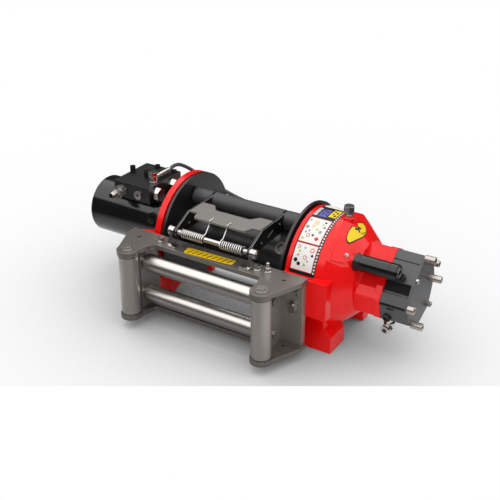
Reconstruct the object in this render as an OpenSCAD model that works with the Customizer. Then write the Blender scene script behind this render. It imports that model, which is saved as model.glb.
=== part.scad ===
// Hydraulic planetary winch with roller fairlead and rope tensioner.
// X runs along the drum, Y to the rear, Z up. The origin is on the floor,
// at the centre of the four foot bolt holes, below the middle of the drum.

/* [Drum] */
// Height of the drum axis above the feet
axis_z = 154; // [150:1:175]
// Clear width between the two flanges
drum_width = 294; // [260:2:320]
// Outer radius of the flanges
flange_r = 130; // [110:1:134]
// Thickness of a flange
flange_t = 6; // [5:0.5:7]
// Radius of the barrel
barrel_r = 59.5; // [50:0.5:62]
// Radius of the journals that turn in the supports
journal_r = 36; // [28:1:44]
// Gap between a flange and its support
flange_gap = 5; // [5:0.5:7]
// Radial clearance of a journal or pin in its bore
run_clear = 0.05; // [0.03:0.01:0.08]
// Radius of the pocket that holds the rope end
pocket_r = 13; // [10:1:15]
// Place of this pocket along the drum
pocket_x = 106; // [60:1:120]
// Angle of this pocket about the drum axis, from the top
pocket_turn = 54; // [0:1:90]

/* [Supports] */
// Thickness of the left support disc
left_disc_t = 15; // [12:1:24]
// Front and rear face of the feet, from the drum axis
foot_reach = 98; // [92:1:110]
// Length of the front feet along Y
front_foot_len = 64; // [50:1:70]
// Rear end of the rear feet, from the drum axis
rear_reach = 86; // [84:1:98]
// Length of the rear feet along Y
rear_foot_len = 26; // [24:1:40]
// Inner end of the feet, from the middle of the drum
foot_in = 201; // [195:1:206]
// Outer end of the feet, from the middle of the drum
foot_out = 260; // [250:1:270]
// Height of the square part of a foot
foot_h = 38; // [30:1:50]
// Distance of the foot bolts from the middle, along X
foot_bolt_x = 230; // [225:1:238]
// Distance of the foot bolts from the drum axis, along Y
foot_bolt_y = 73; // [70:1:76]
// Radius of the tapped foot holes
foot_hole_r = 6; // [5:0.5:8]
// Depth of the tapped foot holes
foot_hole_depth = 28; // [20:1:32]
// Front face of the pads that carry the fairlead
pad_front = 135; // [134:1:145]
// Lower edge of the pads
pad_low = 100; // [85:1:110]
// Upper edge of the pads
pad_high = 184; // [170:1:186]
// Outer end of the right pad
right_pad_end = 264; // [250:1:275]
// Outer end of the left pad
left_pad_end = 216; // [205:1:230]

/* [Right housing] */
// Radius of the wide rim of the gear housing
housing_r = 123; // [110:1:126]
// Width of its cylindrical rim
housing_rim = 85; // [70:1:90]
// Radius half way down the cone
cone_mid_r = 102; // [98:1:106]
// Where the cone ends
cone_end = 294; // [286:1:300]
// Radius where the cone ends
cone_end_r = 77; // [70:1:80]
// End of the neck, where the motor begins
neck_end = 352; // [340:1:362]
// Size of the section of the neck and motor
neck_size = 1; // [0.94:0.01:1.03]
// Length of the lip at the end of the neck
neck_lip = 14; // [8:1:20]

/* [Motor] */
// End of the gear section
motor_end = 408; // [395:1:412]
// Thickness of the end cover
cover_t = 5; // [3:1:12]
// Depth of the recess in the front side
motor_recess = 7; // [3:1:12]
// Place of the drain fitting along X
drain_x = 364; // [358:1:380]
// Place of the drain fitting along Y
drain_y = -40; // [-45:1:-30]
// Height of the drain fitting's nut
drain_z = 79; // [74:1:80]

/* [Gear cylinder] */
// Radius of the cylinder on the left
gear_r = 68.5; // [60:0.5:74]
// Length of the cylinder
gear_len = 236; // [200:1:260]
// Height of the flat that carries the valve block
saddle_z = 211; // [206:1:216]
// Height of the valve block
valve_h = 39; // [34:1:50]
// Left end of the valve block
valve_x0 = -341; // [-345:1:-335]
// Right end of the valve block
valve_x1 = -239; // [-245:1:-230]
// Front face of the valve block
valve_y0 = -57; // [-65:1:-50]
// Rear face of the valve block
valve_y1 = 66; // [60:1:72]

/* [Fairlead] */
// Underside of the lower plate
lead_low = 24; // [15:1:30]
// Upper face of the upper plate
lead_high = 190; // [187:1:200]
// Thickness of the plates
lead_t = 10; // [8:1:14]
// Half width of the plates
lead_half = 221; // [215:1:230]
// Front edge of the plates between the horns
lead_front = 180; // [176:1:200]
// Distance of a vertical roller axis from the middle
post_x = 168; // [164:1:172]
// Distance of the vertical roller axes in front of the drum axis
post_y = 227; // [225:1:232]
// Radius of the round horns
horn_r = 24; // [22:1:26]
// Radius of the vertical rollers
post_r = 21.5; // [18:0.5:22]
// Radius of the horizontal rollers
bar_r = 20; // [16:0.5:21]
// Distance of the horizontal roller axes in front of the drum axis
bar_y = 186; // [182:1:188]
// Height of the upper horizontal roller
bar_high = 145; // [138:1:150]
// Height of the lower horizontal roller
bar_low = 68; // [60:1:72]
// Inner face of the brackets that hold the horizontal rollers
bracket_x = 157; // [155:1:160]
// Thickness of these brackets
bracket_t = 12; // [6:1:13]
// Thickness of the side plates that are bolted on the castings
side_t = 13; // [8:1:14]
// Outer end of the side plates, from the middle of the drum
side_x = 218; // [214:1:220]
// Radius of the roller pins
pin_r = 8; // [6:0.5:10]

/* [Rope tensioner] */
// Distance of the pivot in front of the drum axis
pivot_y = 150; // [146:1:156]
// Height of the pivot
pivot_z = 219; // [216:1:226]
// Radius of the pivot shaft
pivot_r = 5.5; // [5:0.5:7]
// Outer face of the arms
arm_x = 95; // [85:1:100]
// Thickness of the arms and of the plate between them
arm_t = 5; // [4:0.5:8]
// Upper face of the plate between the arms
web_z = 251; // [248:1:256]
// Radius of the pressure roller
press_r = 19; // [16:0.5:20]
// Radius of its axle
axle_r = 7; // [5:0.5:9]
// Gap between the pressure roller and the bare barrel
press_gap = 5; // [5:0.5:8]
// Radius of the spring wire
wire_r = 1.3; // [1:0.1:1.6]
// Radius of the spring coils, to the middle of the wire
coil_r = 8.5; // [8:0.5:10]
// Turns of each spring
spring_turns = 11; // [8:1:13]

/* [Clutch] */
// Distance of the air cylinder in front of the drum axis
air_y = 58; // [56:1:64]
// Height of the air cylinder
air_z = 214; // [212:1:220]
// Radius of the air cylinder
air_r = 17; // [12:0.5:18]
// Face of the housing boss that carries it
air_x = 287; // [284:1:296]
// End of the air cylinder
air_end = 385; // [370:1:400]
// Radius of its air port
air_port_r = 5; // [3:0.5:7]

/* [Hidden] */
$fn = 96;
eps = 0.01;

red = [0.86, 0.07, 0.06];
black = [0.09, 0.09, 0.10];
steel = [0.55, 0.54, 0.52];
bright = [0.82, 0.82, 0.80];
zinc = [0.70, 0.70, 0.68];

flange_in = drum_width / 2;
flange_out = flange_in + flange_t;
support_in = flange_out + flange_gap;
left_disc_out = support_in + left_disc_t;
rim_end = support_in + housing_rim;
cone_mid = rim_end + 25;
gear_end = left_disc_out + gear_len;
press_y = -4;
press_z = axis_z + sqrt(pow(barrel_r + press_gap + press_r, 2) - press_y * press_y);
lead_low_top = lead_low + lead_t;
lead_high_low = lead_high - lead_t;
bar_len = bracket_x - 10;
valve_top = saddle_z + valve_h;
valve_mid_z = saddle_z + valve_h * 0.44;
hose_x = 172;
coil_in = 22;
coil_out = 78;

// Cylinder of radius r about the drum direction, from x0 to x1
module along_x(r, x0, x1, y = 0, z = 0) {
    translate([x0, y, z]) rotate([0, 90, 0]) cylinder(r = r, h = x1 - x0);
}

// Box between two corners
module block(a, b) {
    translate(a) cube(b - a);
}

// Outline in X and Z, drawn out along Y from y0 to y1
module along_y(y0, y1) {
    translate([0, y1, 0]) rotate([90, 0, 0]) linear_extrude(y1 - y0) children();
}

// Outline in Y and Z, drawn out along X from x0 to x1
module out_x(x0, x1) {
    translate([x0, 0, 0]) rotate([90, 0, 90]) linear_extrude(x1 - x0) children();
}

// Feet of one support, on the side s
module feet(s, top) {
    for (y = [-foot_reach, rear_reach - rear_foot_len])
        along_y(y, y + (y < 0 ? front_foot_len : rear_foot_len))
            polygon([[s * foot_in, 0], [s * foot_out, 0], [s * foot_out, foot_h],
                [s * (foot_out - 18), foot_h + 18], [s * (foot_out - 18), top], [s * foot_in, top]]);
}

// Web that joins feet, pad and disc of one support, from x0 to x1
module web(x0, x1) {
    out_x(x0, x1) polygon([[-foot_reach, 0], [-foot_reach + 15, 0], [-foot_reach + 20, 19], [-60, 27],
        [60, 27], [rear_reach - 15, 19], [rear_reach - 12, 0], [rear_reach, 0],
        [rear_reach, 84], [-foot_reach, pad_low + 40]]);
}

module foot_holes(s) {
    for (y = [-foot_bolt_y, foot_bolt_y])
        translate([s * foot_bolt_x, y, -1]) cylinder(r = foot_hole_r, h = foot_hole_depth + 1);
}

module left_support() {
    color(red) difference() {
        union() {
            along_x(flange_r, -left_disc_out, -support_in, 0, axis_z);
            web(-left_disc_out, -support_in);
            feet(-1, foot_h + 18);
            translate([0, 0, pad_low]) linear_extrude(pad_high - pad_low)
                polygon([[-support_in, -pad_front], [-left_pad_end, -pad_front], [-left_pad_end + 4, -pad_front + 9],
                    [-left_disc_out - 5, -112], [-left_disc_out, -80], [-support_in, -80]]);
            // ribs from the disc out to the feet, front and rear
            block([-foot_in - 10, -foot_reach, 0], [-support_in, -foot_reach + 16, pad_low + 4]);
            block([-foot_in - 10, rear_reach - 16, 0], [-support_in, rear_reach, foot_h + 18]);
        }
        along_x(journal_r + run_clear, -left_disc_out - 1, -support_in + 1, 0, axis_z);
        along_x(gear_r + 0.3, -foot_out - 10, -left_disc_out, 0, axis_z);
        foot_holes(-1);
    }
}

// Half space beyond a flat on the cone: angle about the drum axis, distance at x, slope
module cone_flat(turn, x, dist, slope) {
    translate([x, 0, axis_z]) rotate([turn, 0, 0]) translate([0, dist, 0])
        rotate([0, 0, -slope]) translate([-40, 0, -60]) cube([90, 60, 120]);
}

// Section of the neck and motor, from the drum axis
neck_points = [[6, 78], [-15.6, 59.5], [-47.3, 32], [-61, 11], [-72, -8], [-60, -52], [-33, -68], [3, -75],
    [45, -57], [56, -28], [66, 8], [56, 39], [32, 64]] * neck_size;

module neck(x0, x1, more = 0) {
    translate([x0, 0, axis_z]) rotate([90, 0, 90]) linear_extrude(x1 - x0) polygon(neck_points * (1 + more / 70));
}

module right_housing() {
    color(red) difference() {
        union() {
            difference() {
                translate([support_in, 0, axis_z]) rotate([0, 90, 0]) rotate_extrude()
                    polygon([[0, 0], [housing_r, 0], [housing_r, housing_rim], [cone_mid_r, cone_mid - support_in],
                        [cone_end_r, cone_end - support_in], [0, cone_end - support_in]]);
                cone_flat(134.5, 249, 115.4, 40.7);
                cone_flat(107.5, 244, 119.8, 36.5);
                cone_flat(72.5, 244, 119.8, 36.5);
                cone_flat(45.5, 249, 115.4, 40.7);
                // seat of the air cylinder
                along_x(20, air_x, cone_end + 1, -air_y, air_z);
            }
            neck(cone_mid, neck_end);
            neck(neck_end - neck_lip, neck_end, 1.5);
            web(support_in, foot_in + 20);
            feet(1, axis_z);
            // block that carries the fairlead
            translate([0, 0, pad_low]) linear_extrude(pad_high - pad_low)
                polygon([[support_in, -pad_front], [right_pad_end, -pad_front], [right_pad_end, -pad_front + 22],
                    [rim_end, -70], [support_in, -70]]);
            // boss below the air cylinder
            along_x(11.5, air_x - 11, air_x, -air_y, air_z);
            // boss of the breather
            translate([240, 0, axis_z + 60]) cylinder(r = 15, h = housing_r - 60 + 2);
            // boss at the back that takes the brake hose
            block([hose_x, 100, 140], [hose_x + 28, 153, 164]);
        }
        along_x(journal_r + run_clear, support_in - 1, support_in + left_disc_t, 0, axis_z);
        foot_holes(1);
    }
}

module gear_cylinder() {
    color(black) difference() {
        along_x(gear_r, -gear_end, -left_disc_out, 0, axis_z);
        block([valve_x0, -gear_r, saddle_z - 8], [valve_x1 + 18, gear_r, axis_z + gear_r + 1]);
        translate([-228, 0, axis_z]) rotate([157 - 90, 0, 0]) translate([0, 0, gear_r - 3]) cylinder(r = 14, h = 10);
    }
}

module gear_end_cap() {
    color(black) translate([-gear_end, 0, axis_z]) rotate([0, -90, 0]) {
        cylinder(r = gear_r - 1.5, h = 3);
        translate([0, 0, 3]) cylinder(r = gear_r - 6, h = 4, $fn = 12);
    }
}

module cylinder_plug() {
    color(black) translate([-228, 0, axis_z]) rotate([157 - 90, 0, 0]) translate([0, 0, gear_r - 3]) difference() {
        cylinder(r = 13.6, h = 6);
        translate([0, 0, 4]) cylinder(r = 10.5, h = 3);
        cylinder(r = 5, h = 20, $fn = 6);
    }
}

module valve_saddle() {
    color(black) block([valve_x0, -34, saddle_z - 8], [valve_x1 + 18, 34, saddle_z]);
}

module valve_block() {
    color(black) block([valve_x0, valve_y0, saddle_z], [valve_x1, valve_y1, valve_top]);
}

// Hose adapter on the front of the valve block
module port_adapter() {
    color(zinc) translate([-318, valve_y0, valve_mid_z + 1]) rotate([90, 0, 0]) difference() {
        union() {
            cylinder(r = 13, h = 3);
            translate([0, 0, 3]) cylinder(r = 14.5, h = 11, $fn = 6);
            translate([0, 0, 14]) cylinder(r = 9.5, h = 5);
            translate([0, 0, 19]) cylinder(r = 12.5, h = 9, $fn = 6);
            translate([0, 0, 28]) cylinder(r = 10, h = 7);
            translate([0, 0, 35]) cylinder(r1 = 9, r2 = 7.2, h = 7);
        }
        translate([0, 0, 12]) cylinder(r = 6, h = 40);
    }
}

module port_plug() {
    color(zinc) translate([-271, valve_y0, valve_mid_z - 1]) rotate([90, 0, 0]) difference() {
        cylinder(r = 10.5, h = 4);
        translate([0, 0, 1]) cylinder(r = 4.2, h = 6, $fn = 6);
    }
}

module cartridge(y) {
    color(zinc) translate([valve_x1, y, valve_mid_z + 2]) rotate([0, 90, 0]) {
        cylinder(r = 13, h = 4);
        translate([0, 0, 4]) cylinder(r = 16, h = 13, $fn = 6);
    }
}

module cartridge_front() { cartridge(-34); }
module cartridge_rear() { cartridge(26); }

module valve_screws() {
    color(black) for (p = [[-333, 3, 16], [-286, -3, 16], [-300, 56, 7], [-250, 55, 5]])
        translate([p[0], p[1], valve_top]) difference() {
            cylinder(r = 6.5, h = p[2]);
            translate([0, 0, p[2] - 4.5]) cylinder(r = 3.6, h = 6, $fn = 6);
        }
}

module hose_banjo() {
    color(zinc) translate([-255, -16, valve_top]) {
        translate([0, -4, 0]) cylinder(r = 11, h = 4);
        translate([0, -4, 4]) cylinder(r = 10, h = 13);
        translate([0, -4, 17]) cylinder(r = 11, h = 8, $fn = 6);
        translate([0, 0, 10]) rotate([-90, 0, 0]) cylinder(r = 4.5, h = 24);
        translate([0, 18, 10]) rotate([-90, 0, 0]) cylinder(r = 6.2, h = 40);
    }
}

// Middle line of the brake hose, from the banjo round the back of the drum to the gear housing
hose_knots = [[-255, 42.8, 260], [-255, 48, 260.35], [-255.3, 62, 262.4], [-253.5, 77, 260.8], [-248.5, 91, 254],
    [-240, 105, 243], [-228, 118, 229], [-211, 130, 213.5], [-186, 140, 197.5], [-150, 147, 182],
    [-110, 148, 172.5], [-54, 148, 165], [0, 148, 158], [60, 148, 153], [110, 148, 151], [150, 146, 152],
    [hose_x - 0.4, 146, 152]];
function knot(i) = hose_knots[max(0, min(len(hose_knots) - 1, i))];
function hose_at(t) = let (i = min(floor(t), len(hose_knots) - 2), f = t - i,
    a = knot(i - 1), b = knot(i), c = knot(i + 1), d = knot(i + 2))
    0.5 * (2 * b + (c - a) * f + (2 * a - 5 * b + 4 * c - d) * f * f + (3 * b - a - 3 * c + d) * f * f * f);
function sub(a, b) = [a[0] - b[0], a[1] - b[1], a[2] - b[2]];
function unit(v) = v / norm(v);
function tube_ring(c, d, r, n) = let (u = unit(cross(d, [0, 0, 1])), w = cross(u, d))
    [for (k = [0:n - 1]) c + r * cos(360 * k / n) * u + r * sin(360 * k / n) * w];

// Closed tube along the points p
module tube(p, r, n) {
    m = len(p);
    rings = [for (i = [0:m - 1]) let (d = unit(sub(p[min(i + 1, m - 1)], p[max(i - 1, 0)])))
        each tube_ring(p[i], d, r, n)];
    polyhedron(points = rings, faces = concat(
        [[for (k = [0:n - 1]) k]], [[for (k = [n - 1:-1:0]) (m - 1) * n + k]],
        [for (i = [0:m - 2]) for (k = [0:n - 1]) each
            [[i * n + k, (i + 1) * n + k, (i + 1) * n + (k + 1) % n],
             [i * n + k, (i + 1) * n + (k + 1) % n, i * n + (k + 1) % n]]]), convexity = 8);
}

module brake_hose() {
    color(black) tube([for (i = [0:4 * len(hose_knots) - 4]) hose_at(i / 4)], 4.4, 12);
}

module drum_barrel() {
    color(black) difference() {
        union() {
            along_x(barrel_r, -flange_in, flange_in, 0, axis_z);
            along_x(journal_r, -left_disc_out + 1, support_in + left_disc_t - 1, 0, axis_z);
        }
        translate([pocket_x, 0, axis_z]) rotate([pocket_turn, 0, 0]) translate([0, 0, barrel_r - 16]) cylinder(r = pocket_r, h = 30);
    }
}

module rope_pocket_rim() {
    color(steel) translate([pocket_x, 0, axis_z]) rotate([pocket_turn, 0, 0]) translate([0, 0, barrel_r - 16]) difference() {
        cylinder(r = pocket_r, h = 14.6);
        translate([0, 0, 1.5]) cylinder(r = pocket_r - 2, h = 20);
    }
}

module drum_flange(s) {
    color(black) translate([s * (flange_in + flange_t / 2), 0, axis_z]) rotate([0, 90, 0]) difference() {
        cylinder(r = flange_r, h = flange_t, center = true);
        cylinder(r = journal_r, h = flange_t + 2, center = true);
    }
}

module drum_flange_left() { drum_flange(-1); }
module drum_flange_right() { drum_flange(1); }

module tie_rod_rear() {
    color(black) along_x(8, -support_in, support_in, rear_reach - 8, 22);
}

// Upper or lower plate of the fairlead, with a round horn at each end
module lead_plate(z) {
    color(steel) difference() {
        union() {
            translate([0, 0, z]) linear_extrude(lead_t) polygon(concat(
                [[-lead_half, -pad_front], [lead_half, -pad_front], [lead_half, -159], [post_x + 20.5, -post_y - 9],
                    [post_x - 14, -post_y - 16]],
                [for (a = [60:-10:0]) [post_x - 42 + 14 * sin(a), -lead_front - 14 + 14 * cos(a)]],
                [for (a = [0:10:60]) [-post_x + 42 - 14 * sin(a), -lead_front - 14 + 14 * cos(a)]],
                [[-post_x + 14, -post_y - 16], [-post_x - 20.5, -post_y - 9], [-lead_half, -159]]));
            for (s = [-1, 1]) translate([s * post_x, -post_y, z]) cylinder(r = horn_r, h = lead_t);
        }
        for (s = [-1, 1]) {
            translate([s * post_x, -post_y, z - 1]) cylinder(r = pin_r, h = lead_t + 2);
            translate([s * 184, -167, z - 1]) cylinder(r = 4, h = lead_t + 2);
        }
    }
}

module fairlead_top() { lead_plate(lead_high_low); }
module fairlead_bottom() { lead_plate(lead_low); }

module bracket(s) {
    color(steel) difference() {
        block([min(s * bracket_x, s * (bracket_x + bracket_t)), -post_y + 27, lead_low_top],
            [max(s * bracket_x, s * (bracket_x + bracket_t)), -pad_front, lead_high_low]);
        for (z = [bar_low, bar_high])
            along_x(pin_r, s * (bracket_x + bracket_t / 2) - bracket_t, s * (bracket_x + bracket_t / 2) + bracket_t, -bar_y, z);
    }
}

module roller_bracket_left() { bracket(-1); }
module roller_bracket_right() { bracket(1); }

// Side plate of the fairlead, bolted on the pad of a casting
module side_plate(s) {
    color(steel) difference() {
        block([min(s * (bracket_x + bracket_t), s * side_x), -pad_front - side_t, lead_low_top],
            [max(s * (bracket_x + bracket_t), s * side_x), -pad_front, lead_high_low]);
        translate([s * 196, 0, 122]) rotate([90, 0, 0]) cylinder(r = 6, h = 200);
        translate([s * 205, 0, 158]) rotate([90, 0, 0]) cylinder(r = 3.5, h = 200);
    }
}

module side_plate_left() { side_plate(-1); }
module side_plate_right() { side_plate(1); }

module post_roller(s) {
    color(steel) translate([s * post_x, -post_y, lead_low_top + 1]) difference() {
        cylinder(r = post_r, h = lead_high_low - lead_low_top - 2);
        translate([0, 0, -1]) cylinder(r = pin_r + run_clear, h = lead_high_low);
    }
}

module vertical_roller_left() { post_roller(-1); }
module vertical_roller_right() { post_roller(1); }

module vertical_pins() {
    color(zinc) for (s = [-1, 1]) translate([s * post_x, -post_y, 0]) {
        translate([0, 0, lead_low - 1]) cylinder(r = pin_r, h = lead_high - lead_low + 1);
        translate([0, 0, lead_high]) cylinder(r = 13.5, h = 2);
        translate([0, 0, lead_high + 2]) cylinder(r = 10.5, h = 6, $fn = 6);
    }
}

module bar_roller(z) {
    color(bright) difference() {
        along_x(bar_r, -bar_len, bar_len, -bar_y, z);
        along_x(pin_r + run_clear, -bracket_x, bracket_x, -bar_y, z);
    }
}

module upper_roller() { bar_roller(bar_high); }
module lower_roller() { bar_roller(bar_low); }

module horizontal_pins() {
    color(zinc) for (z = [bar_low, bar_high]) {
        along_x(pin_r, -bracket_x - bracket_t, bracket_x + bracket_t, -bar_y, z);
        for (s = [-1, 1]) {
            translate([s * (bracket_x + bracket_t + 4), -bar_y, z]) rotate([0, 90, 0]) cylinder(r = 9, h = 8, $fn = 6, center = true);
            translate([s * (bracket_x - 4.5), -bar_y, z]) rotate([0, 90, 0]) cylinder(r = 13, h = 9, center = true);
        }
    }
}

// Bent straps on the upper plate that carry the pivot shaft
module tensioner_lugs() {
    color(zinc) for (s = [-1, 1]) difference() {
        union() {
            out_x(s * (arm_x + 5.5) - 4, s * (arm_x + 5.5) + 4) polygon([[-pivot_y - 20, lead_high], [-pivot_y + 12, lead_high],
                [-pivot_y + 9.5, pivot_z], [-pivot_y - 9.5, pivot_z]]);
            along_x(10, s * (arm_x + 5.5) - 4, s * (arm_x + 5.5) + 4, -pivot_y, pivot_z);
            block([s * arm_x - (s > 0 ? 14 : 10), -pivot_y - 25, lead_high], [s * arm_x + (s > 0 ? 10 : 14), -pivot_y - 10, lead_high + 5]);
        }
        along_x(pivot_r, s * (arm_x + 5.5) - 6, s * (arm_x + 5.5) + 6, -pivot_y, pivot_z);
    }
}

module tensioner_shaft() {
    color(bright) along_x(pivot_r, -arm_x - 16, arm_x + 16, -pivot_y, pivot_z);
}

module shaft_collars() {
    color(bright) for (s = [-1, 1]) translate([s * (arm_x + 12.5), -pivot_y, pivot_z]) rotate([0, 90, 0]) difference() {
        cylinder(r = 10, h = 5, center = true);
        cylinder(r = pivot_r, h = 9, center = true);
    }
}

// Side arm of the tensioner: pivot eye, tall plate and roller end
module arm(s) {
    x0 = s > 0 ? arm_x - arm_t : -arm_x;
    color(steel) difference() {
        union() {
            out_x(x0, x0 + arm_t) polygon([[-pivot_y - 8, pivot_z + 5], [-104, web_z], [-40, web_z],
                [press_y - 4, press_z + 16.5], [press_y + 8, press_z + 14], [press_y + 12, press_z], [-24, 214], [-94, 211], [-pivot_y, pivot_z - 9.5]]);
            along_x(10, x0, x0 + arm_t, -pivot_y, pivot_z);
            along_x(15, x0, x0 + arm_t, press_y, press_z);
        }
        along_x(pivot_r + run_clear, x0 - 1, x0 + arm_t + 1, -pivot_y, pivot_z);
        along_x(axle_r + run_clear, x0 - 1, x0 + arm_t + 1, press_y, press_z);
        // adjusting slot and holes
        out_x(x0 - 1, x0 + arm_t + 1) polygon([[-84, 231], [-64, 239], [-62, 234], [-82, 226]]);
        along_x(3.5, x0 - 1, x0 + arm_t + 1, -108, 225);
        along_x(4, x0 - 1, x0 + arm_t + 1, -34, 240);
    }
}

module tension_arm_left() { arm(-1); }
module tension_arm_right() { arm(1); }

// Edge of the pressure plate: y0 in the middle, y1 at the arms, eased between x0 and x1
function web_edge(y0, y1, x0, x1) = [for (i = [0:10]) [x0 + (x1 - x0) * i / 10, y0 + (y1 - y0) * (1 - cos(18 * i)) / 2]];
function flip(p) = [for (i = [len(p) - 1:-1:0]) [-p[i][0], p[i][1]]];

module pressure_plate() {
    near = concat(flip(concat(web_edge(-126, -104, 62, 72), [[arm_x - arm_t, -104]])),
        concat(web_edge(-126, -104, 62, 72), [[arm_x - arm_t, -104]]));
    far = concat(flip(concat(web_edge(-73, -53, 40, 62), [[arm_x - arm_t, -53]])),
        concat(web_edge(-73, -53, 40, 62), [[arm_x - arm_t, -53]]));
    color(steel) translate([0, 0, web_z - arm_t]) linear_extrude(arm_t)
        polygon(concat(near, [for (i = [len(far) - 1:-1:0]) far[i]]));
}

// Coil with a leg that reaches over the near edge of the pressure plate
function coil_path(s) = concat(
    [for (i = [0:16 * spring_turns]) let (a = 90 - 360 * i / 16)
        [s * (coil_out - (coil_out - coil_in) * i / (16 * spring_turns)), -pivot_y + coil_r * cos(a), pivot_z + coil_r * sin(a)]],
    [[s * coil_in, -pivot_y + 7, pivot_z + 10], [s * coil_in, -pivot_y + 19, web_z - 8], [s * coil_in, -126 - wire_r - 0.7, web_z - 1],
        [s * coil_in, -126 - wire_r - 0.3, web_z + wire_r + 0.2], [s * coil_in, -126 + 2, web_z + wire_r + 0.5],
        [s * coil_in, -112, web_z + wire_r + 0.4]]);

module spring_left() { color(bright) tube(coil_path(-1), wire_r, 8); }
module spring_right() { color(bright) tube(coil_path(1), wire_r, 8); }

module pressure_roller() {
    color(black) {
        along_x(press_r, -flange_in + 5.5, -arm_x - 0.7, press_y, press_z);
        along_x(press_r, -arm_x + arm_t + 0.7, arm_x - arm_t - 0.7, press_y, press_z);
        along_x(press_r, arm_x + 0.7, flange_in - 5.5, press_y, press_z);
        along_x(axle_r, -arm_x - 1, arm_x + 1, press_y, press_z);
    }
}

module clutch_cylinder() {
    color(black) difference() {
        union() {
            along_x(13, air_x, air_x + 2, -air_y, air_z);
            translate([air_x + 2, -air_y, air_z]) rotate([0, 90, 0]) cylinder(r = 18.5, h = 14, $fn = 6);
            along_x(air_r, air_x + 16, air_end - 20, -air_y, air_z);
            along_x(air_r - 0.8, air_end - 20, air_end - 18.5, -air_y, air_z);
            along_x(air_r, air_end - 18.5, air_end - 3, -air_y, air_z);
            along_x(air_r - 2.5, air_end - 3, air_end, -air_y, air_z);
        }
        along_x(air_port_r, air_end - 14, air_end + 1, -air_y, air_z);
    }
}

module breather() {
    color(zinc) translate([240, 0, axis_z + housing_r + 2]) {
        cylinder(r = 10, h = 5, $fn = 6);
        translate([0, 0, 5]) cylinder(r = 7, h = 3);
        translate([0, 0, 8]) cylinder(r = 10.5, h = 16);
    }
}

module grease_fitting() {
    color(zinc) translate([270, 0, axis_z]) rotate([44.5, 0, 0]) translate([0, 3, 97.5]) rotate([0, 40.7, 0]) {
        cylinder(r = 4.5, h = 3, $fn = 6);
        translate([0, 0, 3]) cylinder(r = 2.6, h = 5);
    }
}

module motor_body() {
    color(black) difference() {
        union() {
            neck(neck_end, motor_end);
            // stub beside the end of the air cylinder
            translate([385.5, -39.7, axis_z + 38.5]) rotate([49.1, 0, 0]) translate([0, 0, -3]) cylinder(r = 7, h = 9);
        }
        // recess in the front side, seen below the air cylinder
        out_x(neck_end - 1, motor_end + 1) polygon([[-50, axis_z + 36], [-64, axis_z + 11],
            [-61 + motor_recess, axis_z + 11 - motor_recess * 0.6], [-47.3 + motor_recess, axis_z + 32 - motor_recess * 0.6]]);
        // groove along the upper flat
        translate([neck_end - 1, -12.5, axis_z + 62.3]) rotate([40.9, 0, 0]) translate([0, 0, -2.5])
            cube([motor_end - neck_end + 2, 3, 4]);
        translate([drain_x, drain_y, drain_z]) cylinder(r = 8, h = 24);
    }
}

module motor_cover() {
    color(black) neck(motor_end, motor_end + cover_t);
}

// Fitting of the case drain below the motor, with its mouth to the front
module motor_elbow() {
    color(zinc) translate([drain_x, drain_y, drain_z]) difference() {
        union() {
            cylinder(r = 7.95, h = 24);
            cylinder(r = 12.5, h = 6, $fn = 6);
            translate([0, 0, -4]) cylinder(r = 9, h = 5);
            translate([0, 13, -4]) rotate([90, 0, 0]) cylinder(r = 9, h = 19);
            translate([0, -6, -4]) rotate([90, 0, 0]) cylinder(r = 12, h = 9, $fn = 6);
            translate([0, -15, -4]) rotate([90, 0, 0]) cylinder(r = 9, h = 8);
        }
        translate([0, -4, -4]) rotate([90, 0, 0]) cylinder(r = 5, h = 30);
    }
}

left_support();
right_housing();
gear_cylinder();
gear_end_cap();
cylinder_plug();
valve_saddle();
valve_block();
port_adapter();
port_plug();
cartridge_front();
cartridge_rear();
valve_screws();
hose_banjo();
brake_hose();
drum_barrel();
rope_pocket_rim();
drum_flange_left();
drum_flange_right();
tie_rod_rear();
fairlead_top();
fairlead_bottom();
roller_bracket_left();
roller_bracket_right();
side_plate_left();
side_plate_right();
vertical_roller_left();
vertical_roller_right();
vertical_pins();
upper_roller();
lower_roller();
horizontal_pins();
tensioner_lugs();
tensioner_shaft();
shaft_collars();
tension_arm_left();
tension_arm_right();
pressure_plate();
spring_left();
spring_right();
pressure_roller();
clutch_cylinder();
breather();
grease_fitting();
motor_body();
motor_cover();
motor_elbow();
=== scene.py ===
import bpy, bmesh, math
from mathutils import Vector, Matrix
from mathutils.bvhtree import BVHTree


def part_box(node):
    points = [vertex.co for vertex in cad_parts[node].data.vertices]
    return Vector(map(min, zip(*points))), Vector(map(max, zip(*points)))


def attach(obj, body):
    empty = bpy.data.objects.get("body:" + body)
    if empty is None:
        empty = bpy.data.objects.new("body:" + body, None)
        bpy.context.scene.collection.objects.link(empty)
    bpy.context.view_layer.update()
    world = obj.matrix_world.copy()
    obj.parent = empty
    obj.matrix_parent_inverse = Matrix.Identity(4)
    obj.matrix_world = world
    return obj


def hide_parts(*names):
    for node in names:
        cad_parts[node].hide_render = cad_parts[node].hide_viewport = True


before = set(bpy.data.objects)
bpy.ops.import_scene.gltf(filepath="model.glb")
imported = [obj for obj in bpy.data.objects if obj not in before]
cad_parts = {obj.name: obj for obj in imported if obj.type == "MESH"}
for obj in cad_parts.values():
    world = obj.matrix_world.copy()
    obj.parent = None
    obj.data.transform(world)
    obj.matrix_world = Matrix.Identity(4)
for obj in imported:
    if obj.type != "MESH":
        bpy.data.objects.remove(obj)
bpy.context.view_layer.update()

# Viewpoint
# The winch is seen from its front right corner, from a little above the drum.
# A long lens keeps the rollers and the drum almost parallel.
viewpoint = bpy.data.objects.new("viewpoint", bpy.data.cameras.new("viewpoint"))
bpy.context.scene.collection.objects.link(viewpoint)
viewpoint.location = (0.9751, -1.5469, 1.0837)
viewpoint.rotation_euler = (math.radians(62.55), 0.0, math.radians(32.2))
viewpoint.data.sensor_width = 36.0
viewpoint.data.lens = 65.45
viewpoint.data.shift_x = -0.002
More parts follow.
